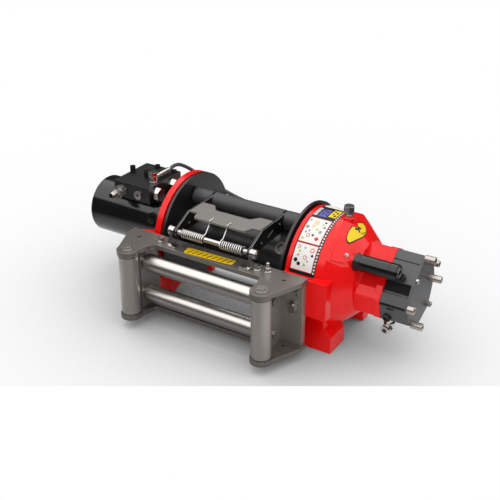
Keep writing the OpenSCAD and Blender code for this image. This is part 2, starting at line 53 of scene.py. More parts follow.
viewpoint.data.clip_start = 0.05
viewpoint.data.clip_end = 40.0
bpy.context.scene.camera = viewpoint


# Red castings
# Both ends of the winch are iron castings under thick gloss red enamel. The edges of the casting
# are rounded by the mould, and the pale red along them is a painted highlight.
def paint(red, green, blue):
    # values from 0 to 255, as on a screen, become linear light
    return tuple(((value / 255 + 0.055) / 1.055) ** 2.4 if value > 10 else value / 3295
                 for value in (red, green, blue)) + (1.0,)


def shaded(colour, factor, lift=0.0):
    return tuple(min(1.0, value * factor + lift) for value in colour[:3]) + (1.0,)


def feed(tree, socket, given):
    if isinstance(given, bpy.types.NodeSocket):
        tree.links.new(given, socket)
    else:
        socket.default_value = given


def worked(tree, operation, first, second):
    step = tree.nodes.new("ShaderNodeMath")
    step.operation = operation
    feed(tree, step.inputs[0], first)
    feed(tree, step.inputs[1], second)
    return step.outputs[0]


def measured(tree, operation, first, second=None):
    step = tree.nodes.new("ShaderNodeVectorMath")
    step.operation = operation
    feed(tree, step.inputs[0], first)
    if second is not None:
        feed(tree, step.inputs[1], second)
    return step.outputs["Value"]


def ranged(tree, value, start, end, low=0.0, high=1.0, easing="LINEAR"):
    step = tree.nodes.new("ShaderNodeMapRange")
    step.interpolation_type = easing
    for label, given in (("Value", value), ("From Min", start), ("From Max", end),
                         ("To Min", low), ("To Max", high)):
        feed(tree, step.inputs[label], given)
    return step.outputs["Result"]


def mixed(tree, share, first, second):
    step = tree.nodes.new("ShaderNodeMix")
    step.data_type = "RGBA"
    for label, given in (("Factor", share), ("A", first), ("B", second)):
        feed(tree, step.inputs[label], given)
    return step.outputs["Result"]


def effect(name, inputs, outputs):
    group = bpy.data.node_groups.new(name, "ShaderNodeTree")
    for label, value in inputs:
        socket = group.interface.new_socket(label, in_out="INPUT", socket_type="NodeSocketFloat")
        socket.default_value = value
    for label, kind in outputs:
        group.interface.new_socket(label, in_out="OUTPUT", socket_type=kind)
    return group, group.nodes.new("NodeGroupInput"), group.nodes.new("NodeGroupOutput")


def rounded_edges_effect():
    flat_face = 0.995
    group, given, result = effect("rounded_edges", [("Radius", 0.001), ("Reach", 0.08)],
                                  [("Normal", "NodeSocketVector"), ("Edge", "NodeSocketFloat")])
    rounding = group.nodes.new("ShaderNodeBevel")
    rounding.samples = 4
    group.links.new(given.outputs["Radius"], rounding.inputs["Radius"])
    face = group.nodes.new("ShaderNodeNewGeometry")
    likeness = measured(group, "DOT_PRODUCT", rounding.outputs["Normal"], face.outputs["Normal"])
    full_edge = worked(group, "SUBTRACT", 1.0, given.outputs["Reach"])
    group.links.new(rounding.outputs["Normal"], result.inputs["Normal"])
    group.links.new(ranged(group, likeness, flat_face, full_edge), result.inputs["Edge"])
    return group


def surface_grain_effect():
    patch_scale = 18.0
    group, given, result = effect("surface_grain", [("Size", 300.0)],
                                  [("Fine", "NodeSocketFloat"), ("Patches", "NodeSocketFloat")])
    place = group.nodes.new("ShaderNodeTexCoord")
    for label, scale, detail in (("Fine", given.outputs["Size"], 3.0), ("Patches", patch_scale, 2.0)):
        noise = group.nodes.new("ShaderNodeTexNoise")
        noise.inputs["Detail"].default_value = detail
        feed(group, noise.inputs["Scale"], scale)
        group.links.new(place.outputs["Object"], noise.inputs["Vector"])
        group.links.new(noise.outputs["Fac"], result.inputs[label])
    return group


rounded_edges = rounded_edges_effect()
surface_grain = surface_grain_effect()


def surface(name, colour, rough, metal=0.0, radius=0.001, edge=None, edge_share=0.3, size=300.0, relief=0.1,
            shade=0.12, rough_spread=0.08, level=0.5):
    smoothest = 0.02
    grain_depth = 0.0004
    material = bpy.data.materials.new(name)
    material.use_nodes = True
    tree = material.node_tree
    finish = tree.nodes["Principled BSDF"]
    edges = tree.nodes.new("ShaderNodeGroup")
    edges.node_tree = rounded_edges
    edges.inputs["Radius"].default_value = radius
    grain = tree.nodes.new("ShaderNodeGroup")
    grain.node_tree = surface_grain
    grain.inputs["Size"].default_value = size
    tone = mixed(tree, grain.outputs["Patches"], shaded(colour, 1 - shade), shaded(colour, 1 + shade))
    # the base colour turns to the paler edge colour along rounded edges: a painted highlight
    edge_highlight = worked(tree, "MULTIPLY", edges.outputs["Edge"], edge_share)
    least_rough, most_rough = max(smoothest, rough - rough_spread), rough + rough_spread
    gloss = ranged(tree, grain.outputs["Fine"], 0.0, 1.0, least_rough, most_rough)
    bump = tree.nodes.new("ShaderNodeBump")
    bump.inputs["Strength"].default_value = relief
    bump.inputs["Distance"].default_value = grain_depth
    tree.links.new(grain.outputs["Fine"], bump.inputs["Height"])
    tree.links.new(edges.outputs["Normal"], bump.inputs["Normal"])
    for label, given in (("Base Color", mixed(tree, edge_highlight, tone, edge or shaded(colour, 1.5, 0.03))),
                         ("Roughness", gloss), ("Normal", bump.outputs["Normal"]), ("Metallic", metal),
                         ("Specular IOR Level", level)):
        feed(tree, finish.inputs[label], given)
    return material


def dress(material, *names):
    for name in names:
        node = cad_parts[name]
        if not node.material_slots:
            node.data.materials.append(material)
        for slot in node.material_slots:
            slot.material = material


# the pale red of the edges is a painted highlight
red_enamel = surface("red_enamel", paint(242, 1, 2), 0.2, radius=0.0016, edge=paint(255, 60, 56),
                     edge_share=0.25, relief=0.0, shade=0.02, rough_spread=0.0, level=0.36)
dress(red_enamel, "left_support", "right_housing")

# Plated fittings
# Screws, plugs and fittings are turned from steel bar, plated with zinc and screwed in.
# A turned shape is a row of rings, each round or, with the word hexagon, six-sided.
hexagon = True


def add_piece(name, mesh, material, body="frame"):
    mesh.materials.append(material)
    piece = bpy.data.objects.new(name, mesh)
    bpy.context.scene.collection.objects.link(piece)
    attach(piece, body)
    return piece


def smooth(mesh):
    for face in mesh.polygons:
        face.use_smooth = True


def turned(name, rings, at, along, material, body="frame", sides=48, turn=0.0, hollow=False):
    sharp_from = math.radians(32)
    points = []
    for radius, height, *six_sided in rings:
        for number in range(sides):
            angle = 2 * math.pi * number / sides
            reach = radius
            if six_sided:
                reach = radius * math.cos(math.pi / 6) / math.cos(angle % (math.pi / 3) - math.pi / 6)
            points.append((reach * math.cos(angle + turn), reach * math.sin(angle + turn), height))
    last = (len(rings) - 1) * sides
    faces = []
    for start in range(0, last, sides):
        for number in range(sides):
            beside = (number + 1) % sides
            faces.append((start + number, start + beside, start + sides + beside, start + sides + number))
    if hollow:
        faces += [(last + number, last + (number + 1) % sides, (number + 1) % sides, number)
                  for number in range(sides)]
    else:
        faces += [tuple(range(sides - 1, -1, -1)), tuple(range(last, last + sides))]
    mesh = bpy.data.meshes.new(name)
    mesh.from_pydata(points, [], faces)
    smooth(mesh)
    mesh.set_sharp_from_angle(angle=sharp_from)
    tilt = Vector(along).to_track_quat("Z", "Y").to_matrix().to_4x4()
    mesh.transform(Matrix.Translation(Vector(at)) @ tilt)
    return add_piece(name, mesh, material, body)


def cap_screw(name, radius, height, at, along, material):
    # a round head with a chamfer and a hexagon socket
    chamfer, mouth, bottom, depth = 0.0008, radius * 0.56, radius * 0.52, height * 0.45
    rings = [(radius, 0.0), (radius, height - chamfer), (radius - chamfer, height), (mouth, height, hexagon),
             (bottom, depth, hexagon)]
    return turned(name, rings, at, along, material, turn=0.3)


def hex_screw(name, radius, height, at, along, material, stud=0.0):
    # a hexagon head on a washer, or a nut with the end of its stud standing out
    washer, washer_radius, flats, crown = 0.002, radius * 1.22, height * 0.78, radius * 0.86
    top, thread, chamfer = washer + height, radius * 0.5, 0.001
    rings = [(washer_radius, 0.0), (washer_radius, washer), (radius, washer, hexagon),
             (radius, washer + flats, hexagon), (crown, top)]
    if stud:
        rings += [(thread, top), (thread, top + stud - chamfer), (thread - chamfer, top + stud)]
    return turned(name, rings, at, along, material, turn=0.2)


bright_zinc = surface("bright_zinc", paint(196, 194, 190), 0.2, metal=1.0, radius=0.0005,
                      edge=paint(235, 235, 232), size=500.0, relief=0.05, shade=0.08, rough_spread=0.05)
dress(bright_zinc, "breather", "hose_banjo", "port_plug", "motor_elbow", "cartridge_front", "cartridge_rear",
      "tensioner_lugs")
plain_zinc = surface("plain_zinc", paint(166, 162, 156), 0.26, metal=0.9, radius=0.0006,
                     edge=paint(205, 202, 198), edge_share=0.6, relief=0.0, shade=0.06, rough_spread=0.0)
dress(plain_zinc, "grease_fitting", "port_adapter")

# Breather
# The vent of the gear housing is a plated cap on a hexagon seat.
# A black joint runs round it, and fine grooves make its grip; black sticks in them are painted shade.
up = (0, 0, 1)
black_joint_and_shade = surface("black_joint_and_shade", paint(12, 12, 12), 0.5, radius=0.0002, relief=0.0)
breather_x = 0.240
breather_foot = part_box("breather")[0][2]
turned("breather_seat", [(0.0098, 0.0, hexagon), (0.0098, 0.004, hexagon), (0.0088, 0.0048)],
       (breather_x, 0.0, breather_foot - 0.0006), up, bright_zinc)
turned("breather_joint", [(0.0107, 0.0), (0.0107, 0.0011), (0.010, 0.0011), (0.010, 0.0)],
       (breather_x, 0.0, breather_foot + 0.008), up, black_joint_and_shade, hollow=True)
# black sticks paint the shade in the grip grooves
groove_count, groove_reach, groove_radius, groove_length = 24, 0.0104, 0.0005, 0.010
for number in range(groove_count):
    angle = 2 * math.pi * number / groove_count
    x, y = breather_x + groove_reach * math.cos(angle), groove_reach * math.sin(angle)
    turned("breather_groove_shade_%02d" % number, [(groove_radius, 0.0), (groove_radius, groove_length)],
           (x, y, breather_foot + 0.0115), up, black_joint_and_shade, sides=6)


# Cast pads
# The gear housing has a faceted pad under its grease fitting and a long one on the front of its neck.
# Each stands a little out of the casting; its crest and root are given in millimetres.
def millimetres(corners):
    return [tuple(value / 1000 for value in corner) for corner in corners]


def cast_pad(name, crest, root):
    count = len(crest)
    walls = [(count + number, count + (number + 1) % count, (number + 1) % count, number)
             for number in range(count)]
    mesh = bpy.data.meshes.new(name)
    mesh.from_pydata(millimetres(crest + root), [], [tuple(range(count))] + walls)
    work = bmesh.new()
    work.from_mesh(mesh)
    bmesh.ops.recalc_face_normals(work, faces=work.faces)
    work.to_mesh(mesh)
    work.free()
    add_piece(name, mesh, red_enamel)


cast_pad("cone_pad",
         [(247.7, -67, 252.1), (275, -51.1, 237.1), (282.2, -53.4, 227.8), (281.6, -68.8, 216.7),
          (272.5, -80.2, 215.2), (251.2, -97.3, 222.9), (248.9, -82, 238.1)],
         [(245.5, -65.2, 250.3), (271.9, -48.6, 234.6), (278.6, -50.5, 224.9), (279.4, -67, 214.9),
          (268.2, -76.7, 211.7), (247.3, -94.2, 219.8), (245.9, -79.6, 235.7)])
cast_pad("neck_pad",
         [(296, -60.6, 165.4), (351.6, -60.6, 165.4), (351.6, -73.2, 149), (298, -73.2, 149)],
         [(292, -59, 163), (351.6, -59, 163), (351.6, -69, 145), (292, -69, 145)])


# Label on the rim
# A printed vinyl label is wrapped round the rim of the gear housing, with a black border.
# Its plain fields lie in layers, placed by their distance along the drum and their angle on the rim.
def vinyl(name, colour):
    return surface(name, colour, 0.42, radius=0.0002, edge_share=0.0, relief=0.0, shade=0.02,
                   rough_spread=0.0, level=0.3)


vinyl_black = vinyl("vinyl_black", paint(18, 18, 19))
vinyl_white = vinyl("vinyl_white", paint(236, 232, 228))
vinyl_red = vinyl("vinyl_red", paint(214, 40, 44))
vinyl_blue = vinyl("vinyl_blue", paint(92, 90, 168))
vinyl_yellow = vinyl("vinyl_yellow", paint(240, 204, 0))
vinyl_green = vinyl("vinyl_green", paint(150, 200, 50))
vinyl_beige = vinyl("vinyl_beige", paint(238, 206, 160))
vinyl_grey = vinyl("vinyl_grey", paint(150, 150, 152))
rim_radius, axis_height = 0.123, 0.154


def on_rim(along, angle, lift):
    reach = rim_radius + lift
    return (along, reach * math.cos(angle), axis_height + reach * math.sin(angle))


def rim_field(name, left, right, low_angle, high_angle, lift, material):
    columns, row_angle = 6, 3
    rows = max(2, int(abs(high_angle - low_angle) / row_angle))
    points, faces = [], []
    for row in range(rows + 1):
        angle = math.radians(low_angle + (high_angle - low_angle) * row / rows)
        points += [on_rim(left + (right - left) * column / columns, angle, lift)
                   for column in range(columns + 1)]
    for row in range(rows):
        for column in range(columns):
            corner = row * (columns + 1) + column
            faces.append((corner, corner + 1, corner + columns + 2, corner + columns + 1))
    mesh = bpy.data.meshes.new(name)
    mesh.from_pydata(points, [], faces)
    smooth(mesh)
    add_piece(name, mesh, material)


ground_lift, field_lift, sheet_lift = 0.0003, 0.0005, 0.0007
block_lift, mark_lift, ring_lift = 0.0008, 0.0010, 0.0012
rim_field("rim_label_ground", 0.1675, 0.2265, 62, 167, ground_lift, vinyl_black)
rim_field("rim_label_lower_edge", 0.1695, 0.2195, 135.6, 162.5, field_lift, vinyl_red)
rim_field("rim_label_lower", 0.1705, 0.2185, 136.2, 161.9, sheet_lift, vinyl_white)
rim_field("rim_label_upper_edge", 0.1695, 0.2195, 104.5, 134.9, field_lift, vinyl_red)
rim_field("rim_label_upper", 0.1705, 0.2185, 105.1, 134.3, sheet_lift, vinyl_white)
rim_field("rim_label_blue", 0.181, 0.199, 86, 101, field_lift, vinyl_blue)
rim_field("rim_label_yellow", 0.202, 0.219, 83, 99, field_lift, vinyl_yellow)
rim_field("rim_label_grey", 0.1695, 0.1775, 85, 101, field_lift, vinyl_grey)
rim_field("rim_label_rear", 0.1705, 0.2185, 64, 79, field_lift, vinyl_white)
for number in range(30):
    step = 3.2 * number
    rim_field("rim_label_dash_%02d" % number, 0.2212, 0.2246, 68 + step, 69.7 + step, field_lift, vinyl_white)
for number in range(8):
    step = 2.1 * number
    rim_field("rim_label_tick_%02d" % number, 0.1690, 0.1770, 85 + step, 86 + step, sheet_lift, vinyl_white)
label_blocks = [(0.183, 0.004, 88, 2), (0.190, 0.005, 90, 2), (0.185, 0.003, 94, 3), (0.193, 0.004, 96, 2),
                (0.205, 0.005, 86, 2), (0.212, 0.004, 88, 3), (0.206, 0.004, 92, 2), (0.212, 0.004, 94, 3)]
for number, (left, width, angle, reach) in enumerate(label_blocks):
    rim_field("rim_label_block_%02d" % number, left, left + width, angle, angle + reach, block_lift,
              vinyl_black)


def rim_mark(name, along, angle, radius, sides, lift, material):
    points = []
    for number in range(sides):
        turn = 2 * math.pi * number / sides
        points.append(on_rim(along + radius * math.cos(turn),
                             math.radians(angle) - radius / rim_radius * math.sin(turn), lift))
    mesh = bpy.data.meshes.new(name)
    mesh.from_pydata(points, [], [tuple(range(sides))])
    add_piece(name, mesh, material)


# plain discs, triangles and bars: place along the drum, angle, radius, number of sides and colour
disc = 14
label_marks = [
    (0.190, 111, 0.0050, disc, vinyl_beige), (0.188, 116, 0.0032, disc, vinyl_beige),
    (0.175, 109, 0.0024, 5, vinyl_grey), (0.209, 109, 0.0034, 3, vinyl_black),
    (0.206, 112, 0.0028, 3, vinyl_green), (0.212, 115, 0.0030, 5, vinyl_grey),
    (0.199, 119, 0.0030, 3, vinyl_green), (0.208, 121, 0.0032, 6, vinyl_grey),
    (0.176, 118, 0.0036, 6, vinyl_grey), (0.178, 124, 0.0026, 4, vinyl_grey),
    (0.186, 127, 0.0034, disc, vinyl_red), (0.177, 131, 0.0032, 3, vinyl_green),
    (0.196, 126, 0.0026, 4, vinyl_black), (0.207, 129, 0.0044, 4, vinyl_red),
    (0.184, 122, 0.0018, 4, vinyl_black), (0.178, 140, 0.0030, disc, vinyl_red),
    (0.182, 144, 0.0032, 3, vinyl_green), (0.192, 140, 0.0022, 4, vinyl_grey),
    (0.209, 141, 0.0040, disc, vinyl_red), (0.212, 146, 0.0026, 5, vinyl_black),
    (0.197, 149, 0.0036, disc, vinyl_red), (0.178, 153, 0.0040, 6, vinyl_black),
    (0.186, 156, 0.0036, 6, vinyl_black), (0.199, 156, 0.0036, 3, vinyl_green),
    (0.181, 148, 0.0022, 4, vinyl_red), (0.204, 152, 0.0020, 4, vinyl_grey)]
for number, (along, angle, radius, sides, tint) in enumerate(label_marks):
    rim_mark("rim_label_mark_%02d" % number, along, angle, radius * 1.2, sides, mark_lift, tint)
    if sides == disc and tint is vinyl_red:
        rim_mark("rim_label_ring_%02d" % number, along, angle, radius * 0.8, sides, ring_lift, vinyl_white)


# Patch on the cone
# A second vinyl patch, cut to a bent outline, lies on the cone of the gear housing.
# Its outlines are in millimetres across and up the cone from the middle of the patch.
def on_cone(name, outline, lift, material):
    middle = Vector((0.244, -0.036, 0.2683))
    out = Vector((0.595, -0.242, 0.767))
    across = Vector((0.376, 0.926, 0.0))
    upward = Vector((-0.71, 0.289, 0.642))
    start_height = 0.08
    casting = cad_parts["right_housing"].data
    skin = BVHTree.FromPolygons([point.co for point in casting.vertices],
                                [face.vertices for face in casting.polygons])
    work = bmesh.new()
    work.faces.new([work.verts.new(middle + across * u + upward * v) for u, v in outline])
    bmesh.ops.triangulate(work, faces=work.faces)
    for _ in range(3):
        bmesh.ops.subdivide_edges(work, edges=work.edges, cuts=1)
        bmesh.ops.triangulate(work, faces=[face for face in work.faces if len(face.verts) > 3])
    for point in work.verts:
        hit = skin.ray_cast(point.co + out * start_height, -out)
        if hit[0]:
            point.co = hit[0] + hit[1] * lift
    mesh = bpy.data.meshes.new(name)
    work.to_mesh(mesh)
    work.free()
    add_piece(name, mesh, material)


def curve_point(knots, share, scale=1.0):
    # a point on the smooth curve through four knots, between the second and the third
    return [0.5 * scale * (2 * b + (c - a) * share + (2 * a - 5 * b + 4 * c - d) * share * share
                           + (3 * b - a - 3 * c + d) * share ** 3) for a, b, c, d in zip(*knots)]


quarters = (0.0, 0.25, 0.5, 0.75)


def rounded_outline(outline, shrink=0.0):
    count = len(outline)
    middle = [sum(point[axis] for point in outline) / count for axis in (0, 1)]
    curve = []
    for number in range(count):
        knots = [outline[(number + step) % count] for step in (-1, 0, 1, 2)]
        curve += [curve_point(knots, share) for share in quarters]
    return [((middle[0] + (x - middle[0]) * (1 - shrink / 30)) / 1000,
             (middle[1] + (y - middle[1]) * (1 - shrink / 16)) / 1000) for x, y in curve]


patch_outline = [(-5.7, -36.0), (-5.8, -26.0), (3.4, -15.4), (13.5, -8.4), (24.4, -3.2), (34.7, -8.0),
                 (40.8, -6.4), (45.3, 2.5), (52.7, 2.0), (61.9, -0.1), (64.4, -10.1), (54.3, -25.8),
                 (43.2, -31.0), (35.7, -33.7), (15.2, -35.8), (2.4, -36.9)]
on_cone("cone_patch_border", rounded_outline(patch_outline), 0.0004, vinyl_black)
on_cone("cone_patch", rounded_outline(patch_outline, 2.3), 0.0008, vinyl_yellow)
on_cone("cone_patch_fold",
        millimetres([(26, -13), (30, -8.5), (34.5, -11), (40, -8), (46, -13), (42, -15.5), (37.5, -13.5),
                     (36.5, -22), (33.5, -22), (33, -14.5)]), 0.0012, vinyl_black)
on_cone("cone_patch_bar", millimetres([(36, -26), (52, -24), (52, -22.6), (36, -24.6)]), 0.0012, vinyl_black)

# Gear cylinder and its valve block
# The cylinder that holds the gears is machined steel in black lacquer; the valve block on top of it
# is black oxide. Plated plugs and valve cartridges are screwed into the block.
black_lacquer = surface("black_lacquer", paint(17, 17, 18), 0.14, radius=0.0012, edge=paint(60, 60, 60),
                        edge_share=0.4, relief=0.0, shade=0.1, rough_spread=0.0)
dress(black_lacquer, "gear_cylinder", "gear_end_cap", "cylinder_plug", "valve_saddle", "clutch_cylinder",
      "valve_screws")
black_oxide = surface("black_oxide", paint(25, 25, 26), 0.34, radius=0.0012, edge=paint(70, 70, 70),
                      edge_share=0.4, relief=0.0, shade=0.1, rough_spread=0.0)
dress(black_oxide, "valve_block")

# a thin black hexagon on the plug in the front of the block is the painted shade of its socket
to_front = (0, -1, 0)
low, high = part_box("port_plug")
socket_shade_radius, socket_shade_thickness = 0.0036, 0.0003
turned("port_plug_socket_shade", [(socket_shade_radius, 0.0, hexagon), (socket_shade_radius, socket_shade_thickness, hexagon)],
       ((low[0] + high[0]) / 2, low[1] - 0.0001, (low[2] + high[2]) / 2), to_front, black_joint_and_shade)

# Brake hose
# A rubber hose leaves the banjo on the valve block, bends down behind the left support,
# runs behind the drum and goes back into the rear of the gear housing. Its knots are in millimetres.
hose_rubber = surface("hose_rubber", paint(60, 57, 58), 0.42, radius=0.0004, size=900.0, relief=0.35,
                      shade=0.1)
hose_knots = [(-255, 42.8, 260), (-255, 48, 260.35), (-255.3, 62, 262.4), (-253.5, 77, 260.8),
              (-248.5, 91, 254), (-240, 105, 243), (-228, 118, 229), (-211, 130, 213.5), (-186, 140, 197.5),
              (-150, 147, 182), (-110, 148, 172.5), (-54, 148, 165), (0, 148, 158), (60, 148, 153),
              (110, 148, 151), (150, 146, 152), (171.6, 146, 152)]
last_knot = len(hose_knots) - 1
hose_points = []
for number in range(last_knot):
    knots = [hose_knots[min(max(number + step, 0), last_knot)] for step in (-1, 0, 1, 2)]
    hose_points += [curve_point(knots, share, 0.001) for share in quarters]
hose_points += millimetres(hose_knots[-1:])
hose_line = bpy.data.curves.new("brake_hose_rubber", "CURVE")
hose_line.dimensions = "3D"
hose_line.bevel_depth = 0.0044
hose_line.bevel_resolution = 5
hose_line.use_fill_caps = True
run = hose_line.splines.new("POLY")
run.points.add(len(hose_points) - 1)
for point, place in zip(run.points, hose_points):
    point.co = (*place, 1.0)
run.use_smooth = True
hose_line.materials.append(hose_rubber)
brake_hose = bpy.data.objects.new("brake_hose_rubber", hose_line)
bpy.context.scene.collection.objects.link(brake_hose)
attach(brake_hose, "frame")
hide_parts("brake_hose")

# Drum
# The drum is a turned barrel between two flanges, all black oxide, and so is the tie rod behind it.
# The steel rim of a pocket shows in the barrel.
dress(black_oxide, "drum_flange_left", "drum_flange_right", "drum_barrel", "tie_rod_rear")
dull_steel = surface("dull_steel", paint(138, 134, 130), 0.4, metal=0.5, radius=0.0012,
                     edge=paint(170, 166, 160), edge_share=0.5, relief=0.0, shade=0.04, rough_spread=0.0)
dress(dull_steel, "rope_pocket_rim")

# Roller fairlead
# Two laser-cut plates with round horns hold two upright rollers on pins, and bent side plates join them.
# The plates and upright rollers are dull rolled steel; the level rollers are ground bright.
rolled_steel = surface("rolled_steel", paint(120, 114, 109), 0.3, metal=0.6, radius=0.0012,
                       edge=paint(160, 156, 150), edge_share=0.5, relief=0.0, shade=0.05, rough_spread=0.0)
dress(rolled_steel, "fairlead_top", "fairlead_bottom")
satin_steel = surface("satin_steel", paint(160, 154, 149), 0.24, metal=0.6, radius=0.0012,
                      edge=paint(180, 176, 170), edge_share=0.5, relief=0.0, shade=0.04, rough_spread=0.0)
dress(satin_steel, "roller_bracket_left", "roller_bracket_right", "side_plate_left", "side_plate_right",
      "vertical_roller_left", "vertical_roller_right")
ground_steel = surface("ground_steel", paint(190, 185, 180), 0.32, metal=1.0, radius=0.0008,
                       edge=paint(225, 222, 218), relief=0.0, shade=0.02, rough_spread=0.0)
dress(ground_steel, "upper_roller", "lower_roller", "tensioner_shaft", "shaft_collars")
dress(plain_zinc, "vertical_pins", "horizontal_pins")

# dark joints at both ends of the upright rollers
for side in ("left", "right"):
    low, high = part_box("vertical_roller_" + side)
    middle_x, middle_y = (low[0] + high[0]) / 2, (low[1] + high[1]) / 2
    radius = (high[0] - low[0]) / 2
    inner, outer, width = radius - 0.001, radius + 0.0002, 0.0016
    joint = [(inner, 0.0), (outer, 0.0), (outer, width), (inner, width)]
    for end, height in (("lower", low[2] + 0.0015), ("upper", high[2] - 0.0035)):
        turned("roller_joint_%s_%s" % (end, side), joint, (middle_x, middle_y, height), up, black_joint_and_shade,
               side + "_roller", hollow=True)

# bolts and screws of the side plates and of the upper plate
bracket_face, plate_top = -0.148, 0.190
bolt_x, bolt_z, screw_x, screw_z = 0.196, 0.122, 0.205, 0.158
for way, side in ((-1, "left"), (1, "right")):
    hex_screw("side_bolt_" + side, 0.012, 0.008, (way * bolt_x, bracket_face, bolt_z), to_front, plain_zinc)
    cap_screw("side_screw_" + side, 0.0055, 0.005, (way * screw_x, bracket_face, screw_z), to_front,
              plain_zinc)
hex_screw("plate_bolt_left", 0.008, 0.007, (-0.1306, -0.1576, plate_top), up, bright_zinc)
hex_screw("plate_bolt_right", 0.008, 0.007, (0.1152, -0.1572, plate_top), up, bright_zinc)
hex_screw("plate_stud_right", 0.0075, 0.007, (0.138, -0.1533, plate_top), up, bright_zinc, stud=0.012)

# Rope tensioner
# Two arms on a ground shaft carry a bent plate and the rubbered pressure roller.
# Two springs of bright wire, coiled round the shaft, pull the plate down.
# the bright edges of the dark arms are a painted highlight
dark_steel = surface("dark_steel", paint(58, 56, 54), 0.3, metal=0.8, radius=0.0012,
                     edge=paint(205, 203, 200), edge_share=0.8, relief=0.0, rough_spread=0.0)
dress(dark_steel, "tension_arm_left", "tension_arm_right")
dress(dull_steel, "pressure_plate")
roller_rubber = surface("roller_rubber", paint(58, 58, 59), 0.5, radius=0.001, relief=0.0, shade=0.06,
                        rough_spread=0.0)
dress(roller_rubber, "pressure_roller")
spring_steel = surface("spring_steel", paint(226, 224, 220), 0.26, metal=0.85, radius=0.0003, relief=0.0,
                       shade=0.02, rough_spread=0.0)
dress(spring_steel, "spring_left", "spring_right")

# black guides keep the springs off the shaft
spring_guide = surface("spring_guide", paint(14, 14, 15), 0.5, radius=0.0003, size=500.0, relief=0.1)
to_motor = (1, 0, 0)
shaft_y, shaft_z = -0.150, 0.219
guide_margin, guide_radius, end_radius = 0.001, 0.0066, 0.0056
for side in ("left", "right"):
    low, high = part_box("spring_" + side)
    length = high[0] - low[0] - 2 * guide_margin
    guide = [(end_radius, 0.0), (guide_radius, 0.0), (guide_radius, length), (end_radius, length)]
    turned("spring_guide_" + side, guide, (low[0] + guide_margin, shaft_y, shaft_z), to_motor, spring_guide,
           "frame")


# Strip on the upper plate
# A yellow strip of thin sheet is glued on the upper plate, in front of the drum.
# Slanting black bars are printed along it.
sheet_thickness = 0.0006


def sheet_piece(name, corners, out, material):
    underside, top = 0.00005, sheet_thickness
    count = len(corners)
    points = [tuple(value + reach * lift for value, reach in zip(corner, out))
              for lift in (underside, top) for corner in corners]
    walls = [(number, (number + 1) % count, count + (number + 1) % count, count + number)
             for number in range(count)]
    mesh = bpy.data.meshes.new(name)
    mesh.from_pydata(points, [], [tuple(range(count, 2 * count))] + walls)
    add_piece(name, mesh, material)


strip_yellow = surface("strip_yellow", paint(232, 190, 0), 0.34, radius=0.0002, edge_share=0.0, relief=0.0,
                       shade=0.08, rough_spread=0.0, level=0.4)
strip_outline = [(-0.0575, -0.1740), (-0.0545, -0.1778), (0.0575, -0.1705), (0.0605, -0.1675),
                 (0.0595, -0.1520), (0.0565, -0.1490), (-0.0575, -0.1530), (-0.0605, -0.1560)]
sheet_piece("plate_strip", [(x, y, plate_top) for x, y in strip_outline], up, strip_yellow)
bar_pitch, bar_rise, bar_width, bar_slant, bar_length = 0.012, 0.0008, 0.0022, 0.0056, 0.014
strip_top = plate_top + sheet_thickness
for number in range(9):
    x, y = -0.050 + bar_pitch * number, -0.1748 + bar_rise * number
    far_x, far_y = x + bar_slant, y + bar_length
    sheet_piece("plate_strip_bar_%d" % number,
                [(x, y, strip_top), (x + bar_width, y, strip_top), (far_x + bar_width, far_y, strip_top),
                 (far_x, far_y, strip_top)], up, vinyl_black)


# Motor
# The hydraulic motor is a stack of cast sections in dark grey lacquer, clamped by long screws.
# Flat sheets in matt black and red are painted shade, in the recesses of its side and of the neck of the
# housing.
def side_sheet(name, left, right, upper, lower, out, material):
    # upper and lower are the places of the two long edges, forward and up
    sheet_piece(name, [(left, *upper), (left, *lower), (right, *lower), (right, *upper)], out, material)


motor_lacquer = surface("motor_lacquer", paint(72, 72, 73), 0.42, radius=0.0012, edge=paint(120, 120, 120),
                        edge_share=0.3, relief=0.0, shade=0.05, rough_spread=0.0)
dress(motor_lacquer, "motor_body", "motor_cover")
# matt near-black sheets paint the shade in the recess, along a band below it and in a slot
painted_shade_black = surface("painted_shade_black", paint(25, 25, 25), 0.6, radius=0.0002, relief=0.0, shade=0.04,
                       rough_spread=0.0, level=0.12)
motor_left, motor_right = 0.3525, 0.4075
undercut = (0, -0.96, -0.26)
side_sheet("motor_recess", motor_left, motor_right, (-0.0405, 0.1820), (-0.0520, 0.1644), (0, -0.84, 0.55),
           painted_shade_black)
side_sheet("motor_shade_band", motor_left, motor_right, (-0.0718, 0.1453), (-0.0702, 0.1392), undercut,
           painted_shade_black)
side_sheet("motor_slot_shade", 0.367, 0.383, (-0.0690, 0.1350), (-0.0681, 0.1315), undercut,
           painted_shade_black)
turned("drain_nut", [(0.0100, 0.0, hexagon), (0.0100, 0.0042, hexagon), (0.0088, 0.005), (0.0058, 0.005),
                     (0.0050, 0.0022)],
       (0.3672, -0.0618, 0.1085), undercut, black_lacquer)
# a darker, matt red sheet on the neck paints the shade and the dark reflection of the air cylinder above it
red_shade = surface("red_shade", paint(212, 0, 0), 0.6, radius=0.0002, relief=0.0, shade=0.02,
                    rough_spread=0.0, level=0.05)
sheet_piece("neck_painted_shade", [(0.3030, -0.0488, 0.1864), (0.3000, -0.0603, 0.1664), (0.3517, -0.0603, 0.1664),
                            (0.3517, -0.0488, 0.1864)], (0, -0.87, 0.5), red_shade)

# cap of the short stub behind the air cylinder, and the plated ring in the cylinder's mouth
turned("motor_stub_cap", [(0.0078, 0.0), (0.0078, 0.006), (0.0068, 0.0075)], (0.3855, -0.0426, 0.1955),
       (0, -0.655, 0.755), black_lacquer)
turned("air_mouth", [(0.0072, 0.0), (0.0112, 0.0), (0.0112, 0.0008), (0.0072, 0.0008)],
       (0.385, -0.058, 0.214), to_motor, plain_zinc, hollow=True)

